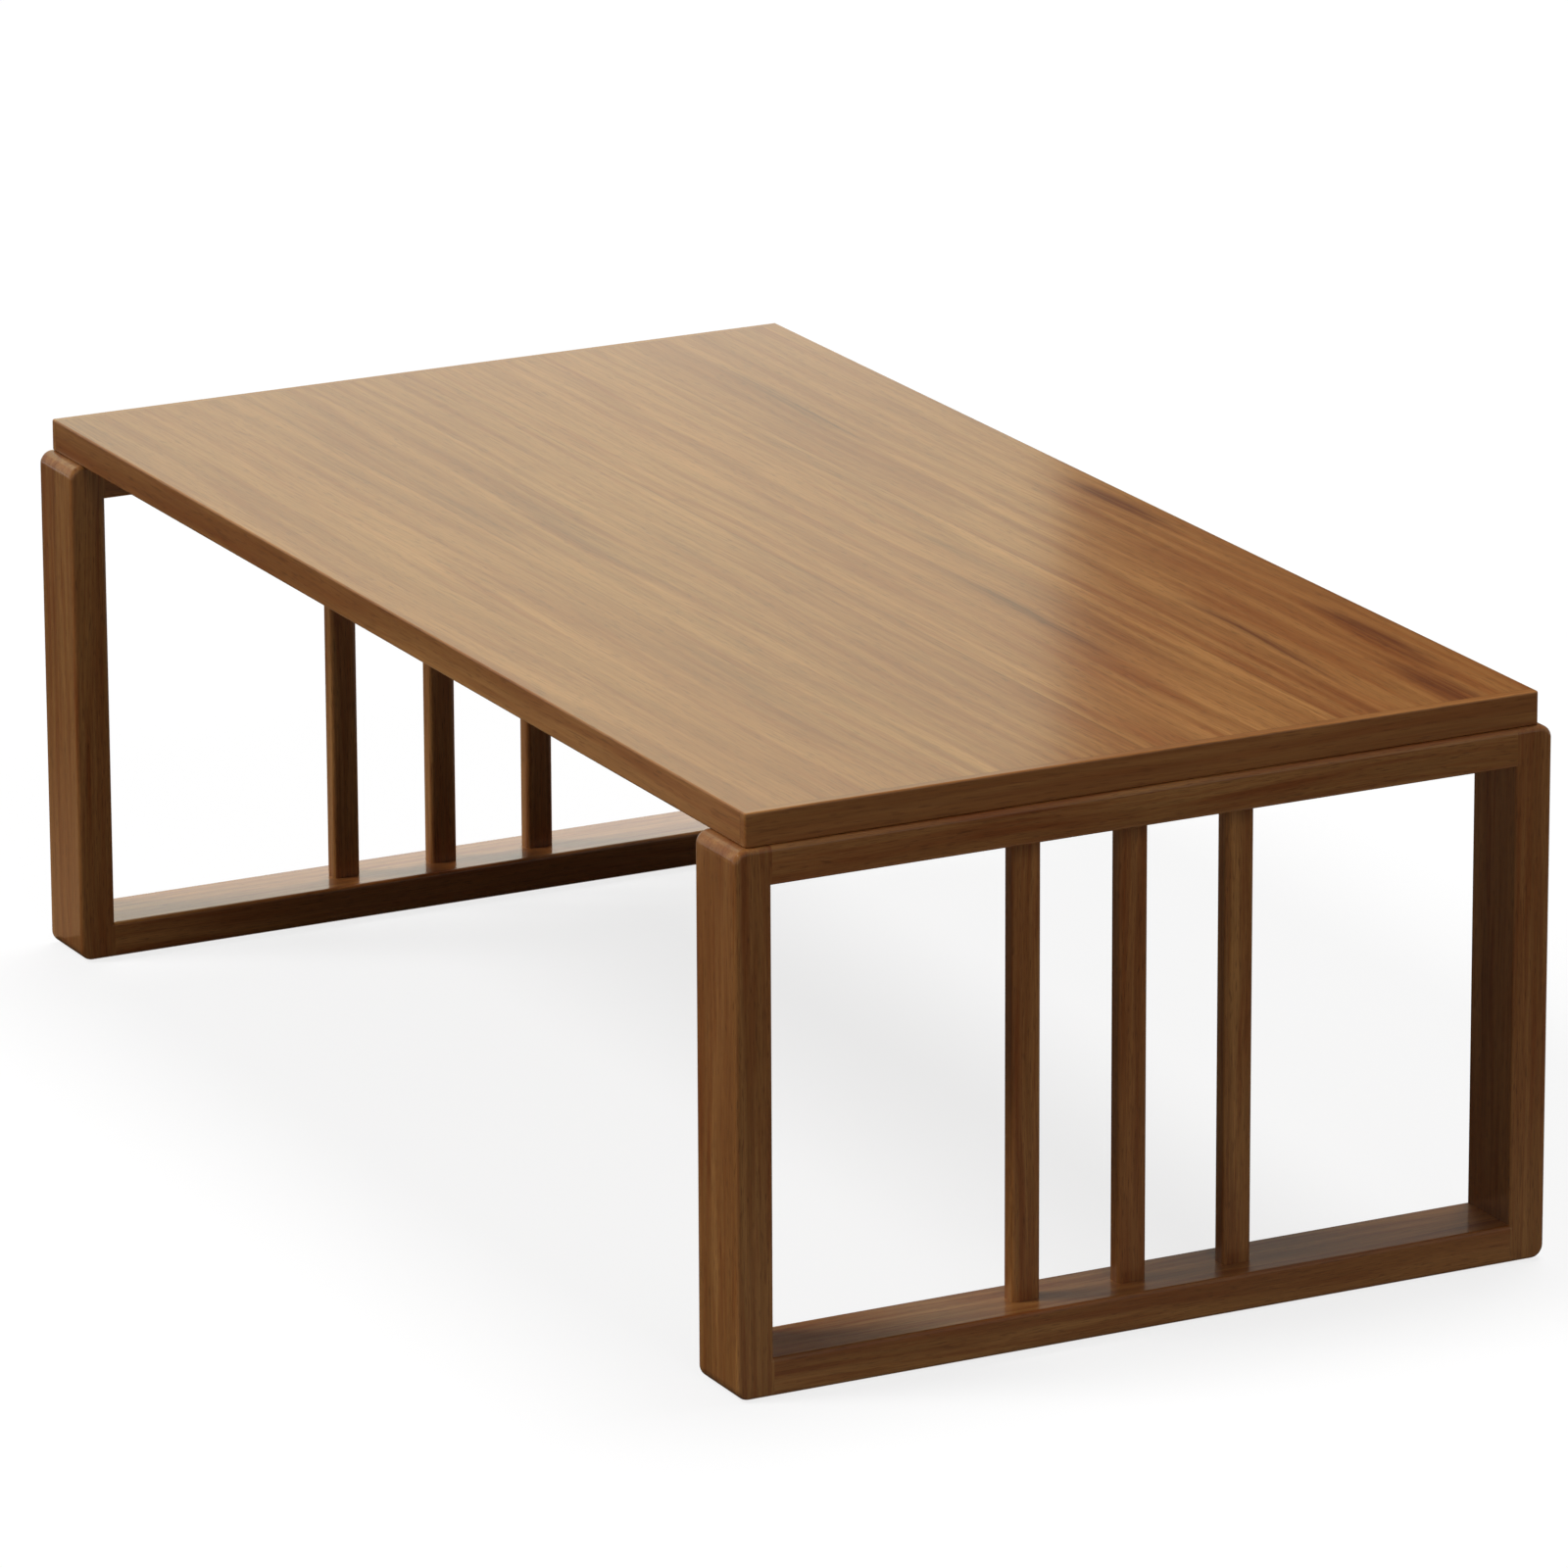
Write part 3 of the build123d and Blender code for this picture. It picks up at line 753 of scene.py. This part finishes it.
class LOWTABLE_OT_hinges(bpy.types.Operator):
    """Plate the hinge sheet metal, blue the springs and set detailed screws"""

    bl_idname = "lowtable.hinges"
    bl_label = "Snap hinges"

    def execute(self, context):
        zinc = zinc_plated_steel("zinc_plated_hinge_plate")
        bright = zinc_plated_steel("zinc_plated_screw")
        blued = blued_spring_steel("blued_spring_strip")
        for side in SIDES:
            for end in ENDS:
                finish_nodes([f"{side}_{end}_base_plate", f"{side}_{end}_arm_plate"], zinc)
                finish_nodes([f"{side}_{end}_hinge_pin"], bright)
                finish_nodes([f"{side}_{end}_snap_spring"], blued)
        finish_nodes(["spring_rivets"], bright)
        blank = screw_blank()
        base_places = []
        for side in SIDES:
            arm_places = []
            for end in ENDS:
                low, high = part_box(f"{side}_{end}_base_plate")
                middle = (low.y + high.y) / 2
                pin_low, pin_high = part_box(f"{side}_{end}_hinge_pin")
                axis = (pin_low.x + pin_high.x) / 2
                inward = 1.0 if side == "left" else -1.0
                plate_face = high.z - HINGE_SHEET
                for row in BASE_SCREW_ROWS:
                    for across in BASE_SCREW_PLACES:
                        spot = (axis + inward * row, middle + across, plate_face)
                        base_places.append((Vector(spot), (0, 0, -1)))
                arm_low, arm_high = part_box(f"{side}_{end}_arm_plate")
                rail_low, rail_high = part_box(f"{side}_top_rail")
                face = (rail_high.x if side == "left" else rail_low.x) + inward * HINGE_SHEET
                for across in ARM_SCREW_PLACES:
                    spot = (face, middle + across, (arm_low.z + arm_high.z) / 2)
                    arm_places.append((Vector(spot), (inward, 0, 0)))
            screws = screw_group(f"{side}_arm_wood_screws", blank, arm_places, bright)
            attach(screws, f"{side}_frame")
            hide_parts(f"{side}_arm_screws")
        screws = screw_group("base_wood_screws", blank, base_places, bright)
        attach(screws, "tabletop")
        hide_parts("base_screws")
        bpy.data.meshes.remove(blank)
        return {"FINISHED"}


class LOWTABLE_OT_feet(bpy.types.Operator):
    """Finish the foot pads in moulded rubber"""

    bl_idname = "lowtable.feet"
    bl_label = "Foot pads"

    def execute(self, context):
        rubber = moulded_rubber("moulded_rubber_pad")
        finish_nodes([f"{side}_{end}_foot_pad" for side in SIDES for end in ENDS], rubber)
        return {"FINISHED"}


def stage_card(name, centre, across, up, width, height, shade, strength):
    """A card that only shows in reflections."""
    shape = bmesh.new()
    bmesh.ops.create_grid(shape, x_segments=1, y_segments=1, size=0.5)
    facing = across.cross(up)
    turn = Matrix((across * width, up * height, facing)).transposed().to_4x4()
    turn.translation = centre
    bmesh.ops.transform(shape, matrix=turn, verts=shape.verts)
    material, tree, output = new_material(name)
    glow = add_node(
        tree, "ShaderNodeEmission", {"Color": linear(shade), "Strength": strength}
    )
    tree.links.new(glow.outputs[0], output.inputs["Surface"])
    card = place_mesh(name, shape, material)
    card.visible_camera = False
    card.visible_diffuse = False
    card.visible_shadow = False
    return card


class LOWTABLE_OT_stage(bpy.types.Operator):
    """Set up floor, lamps, reflection cards and camera"""

    bl_idname = "lowtable.stage"
    bl_label = "Stage"

    def execute(self, context):
        stage = context.scene.low_table_stage
        along_x = Vector((1.0, 0.0, 0.0))
        along_y = Vector((0.0, 1.0, 0.0))
        up = Vector((0.0, 0.0, 1.0))

        # Floor paper: near white to the camera and in reflections, greyer to bounced light
        shape = bmesh.new()
        bmesh.ops.create_grid(shape, x_segments=4, y_segments=4, size=FLOOR_REACH)
        bmesh.ops.translate(shape, verts=shape.verts, vec=up * -FLOOR_DROP)
        material, tree, output = new_material("floor_paper")
        paper = add_node(tree, "ShaderNodeBsdfDiffuse", {"Color": linear(stage.floor)})
        glow = add_node(
            tree, "ShaderNodeEmission", {"Color": linear("FFFFFF"), "Strength": 1.0}
        )
        bright = add_node(
            tree, "ShaderNodeMixShader",
            {0: 1.0 - stage.shadow, 1: paper.outputs[0], 2: glow.outputs[0]},
        )
        grey = add_node(tree, "ShaderNodeBsdfDiffuse", {"Color": linear("848484")})
        both = add_node(
            tree, "ShaderNodeMixShader",
            {0: where_seen(tree), 1: grey.outputs[0], 2: bright.outputs[0]},
        )
        # Clear from below, so that the underside of the table can be looked at
        below = add_node(tree, "ShaderNodeNewGeometry").outputs["Backfacing"]
        clear = add_node(tree, "ShaderNodeBsdfTransparent")
        sided = add_node(
            tree, "ShaderNodeMixShader", {0: below, 1: both.outputs[0], 2: clear.outputs[0]}
        )
        tree.links.new(sided.outputs[0], output.inputs["Surface"])
        floor = place_mesh("floor_sheet", shape, material)

        # World: white where it is seen, dim as a lamp
        world = bpy.data.worlds.new("studio")
        context.scene.world = world
        world.use_nodes = True
        tree = world.node_tree
        tree.nodes.clear()
        strength = add_node(
            tree, "ShaderNodeMapRange",
            {0: where_seen(tree), 1: 0.0, 2: 1.0, 3: stage.ambient, 4: 1.0},
        ).outputs[0]
        sky = add_node(
            tree, "ShaderNodeBackground", {"Color": linear("FFFFFF"), "Strength": strength}
        )
        add_node(tree, "ShaderNodeOutputWorld", {"Surface": sky.outputs[0]})

        # Soft lamps: a broad one overhead, one in front and a weak one at the right, each with
        # its strength, its spread in degrees and the way to it
        for name, strength, spread, toward in (
            ("overhead_light", stage.overhead, 26, (-0.14, 0.22, 0.96)),
            ("front_light", stage.front, 18, (-0.2, -0.62, 0.76)),
            ("side_light", stage.side, 24, (0.82, -0.12, 0.56)),
        ):
            lamp = bpy.data.lights.new(name, "SUN")
            lamp.energy = strength
            lamp.angle = math.radians(spread)
            made = bpy.data.objects.new(name, lamp)
            context.scene.collection.objects.link(made)
            toward = Vector(toward).normalized()
            made.location = toward * LAMP_DISTANCE
            made.rotation_euler = toward.to_track_quat("Z", "Y").to_euler()
            made.visible_glossy = False

        azimuth, elevation = stage.azimuth, stage.elevation
        back = Vector((
            math.sin(azimuth) * math.cos(elevation),
            -math.cos(azimuth) * math.cos(elevation),
            math.sin(elevation),
        ))
        right = Vector((math.cos(azimuth), math.sin(azimuth), 0.0))
        away = Vector((-math.sin(azimuth), math.cos(azimuth), 0.0))

        # Reflection cards beyond the table: bright on the left, most so low down, and dark on
        # the right, each with its left and right sides, foot, head, colour and strength
        edge = stage.window_edge
        for name, start, end, foot, head, shade, strength in (
            ("window_card", edge - 6.0, edge, 1.05, 3.35, "FDFDDC", 0.78),
            ("low_window_card", edge - 6.0, edge, 0.01, 1.03, "FFFFF8", 1.7),
            ("dark_card", edge, edge + 3.0, 0.0, 3.0, "FFF4E8", 0.015),
        ):
            centre = away * CARD_DISTANCE + right * (start + end) / 2 + up * (foot + head) / 2
            stage_card(name, centre, right, up, end - start, head - foot, shade, strength)

        # Dim ceiling and walls all round, for the rounded edges and for other views of the top
        room = 2.0 * WALL_DISTANCE
        stage_card(
            "ceiling_card", up * WALL_HEIGHT, along_y, along_x, room, room, "FFF8EE", 0.25
        )
        for name, toward in (
            ("right_wall", along_x), ("front_wall", -along_y), ("left_wall", -along_x),
            ("back_wall", along_y),
        ):
            centre = toward * WALL_DISTANCE + up * WALL_HEIGHT / 2
            stage_card(name, centre, up.cross(toward), up, room, WALL_HEIGHT, "FFF0DC", 0.4)

        # Close behind the table and below its top, for the dim sheen on the near bottom rail
        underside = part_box("top_board_1")[0].z
        centre = along_y * (CAD_BOX[1][1] + BACK_CARD_GAP) + up * underside / 2
        width = 2.0 * (CAD_BOX[1][0] - BACK_CARD_INSET[0])
        height = underside - 2.0 * BACK_CARD_INSET[1]
        stage_card("low_back_card", centre, along_x, up, width, height, "FFF0E0", 0.25)

        # Just above the floor and seen only in reflections, a glowing sheet of painted shade: low
        # faces mirror it dim between the table's ends, and lighter and warm past them, a painted
        # glow in place of light bounced off the floor
        sheet = stage_card(
            "painted_shade_sheet", up * SHEET_HEIGHT, along_x, along_y, SHEET_WIDTH, SHEET_WIDTH,
            "FFCE9C", DIM_GLOW,
        )
        tree = sheet.data.materials[0].node_tree
        spot = add_node(tree, "ShaderNodeTexCoord").outputs["Object"]
        along = add_node(tree, "ShaderNodeSeparateXYZ", {0: spot}).outputs["X"]
        along = add_node(
            tree, "ShaderNodeMath", {0: along}, operation="ABSOLUTE"
        ).outputs[0]
        end = CAD_BOX[1][0]
        lit = add_node(
            tree, "ShaderNodeMapRange",
            {0: along, 1: end, 2: end + SHEET_FADE, 3: LIT_GLOW, 4: DIM_GLOW},
            interpolation_type="SMOOTHSTEP",
        ).outputs[0]
        past = add_node(
            tree, "ShaderNodeMath", {0: along, 1: end}, operation="GREATER_THAN"
        ).outputs[0]
        lit = add_node(
            tree, "ShaderNodeMapRange", {0: past, 1: 0.0, 2: 1.0, 3: DIM_GLOW, 4: lit}
        ).outputs[0]
        glow = next(made for made in tree.nodes if made.bl_idname == "ShaderNodeEmission")
        tree.links.new(lit, glow.inputs["Strength"])

        # Camera at the photograph's angle
        side = math.cos(stage.roll) * right + math.sin(stage.roll) * back.cross(right)
        rise = -math.sin(stage.roll) * right + math.cos(stage.roll) * back.cross(right)
        lens = bpy.data.cameras.new("photo_camera")
        lens.lens = stage.lens
        lens.sensor_width = 36.0
        lens.clip_end = 100.0
        camera = bpy.data.objects.new("photo_camera", lens)
        context.scene.collection.objects.link(camera)
        spot = Vector((0.0, 0.0, stage.target_height)) + back * stage.distance
        spot += side * stage.pan_right + rise * stage.pan_up
        camera.matrix_world = Matrix((
            (side.x, rise.x, back.x, spot.x),
            (side.y, rise.y, back.y, spot.y),
            (side.z, rise.z, back.z, spot.z),
            (0.0, 0.0, 0.0, 1.0),
        ))
        context.scene.camera = camera
        context.scene.view_settings.view_transform = "Standard"
        return {"FINISHED"}


class LOWTABLE_PT_panel(bpy.types.Panel):
    """Lists the steps that dress the table"""

    bl_label = "Low Table"
    bl_idname = "LOWTABLE_PT_panel"
    bl_space_type = "VIEW_3D"
    bl_region_type = "UI"
    bl_category = "Low Table"

    def draw(self, context):
        for group in ("low_table_wood", "low_table_hardware", "low_table_stage"):
            settings = getattr(context.scene, group)
            for name in settings.__annotations__:
                self.layout.prop(settings, name)
        for step in STEPS:
            self.layout.operator(step.bl_idname)


SETTINGS = {
    "low_table_wood": LowTableWood,
    "low_table_hardware": LowTableHardware,
    "low_table_stage": LowTableStage,
}
STEPS = (
    LOWTABLE_OT_tabletop, LOWTABLE_OT_frames, LOWTABLE_OT_hinges, LOWTABLE_OT_feet,
    LOWTABLE_OT_stage,
)


def register():
    """Register the settings, steps and panel."""
    for made in (*SETTINGS.values(), *STEPS, LOWTABLE_PT_panel):
        bpy.utils.register_class(made)
    for name, made in SETTINGS.items():
        setattr(bpy.types.Scene, name, bpy.props.PointerProperty(type=made))


def unregister():
    """Take the settings, steps and panel away again."""
    for name in SETTINGS:
        delattr(bpy.types.Scene, name)
    for made in reversed((*SETTINGS.values(), *STEPS, LOWTABLE_PT_panel)):
        bpy.utils.unregister_class(made)


def main():
    """Dress the table step by step."""
    register()
    bpy.ops.lowtable.tabletop()
    bpy.ops.lowtable.frames()
    bpy.ops.lowtable.hinges()
    bpy.ops.lowtable.feet()
    bpy.ops.lowtable.stage()


if __name__ == "__main__":
    main()
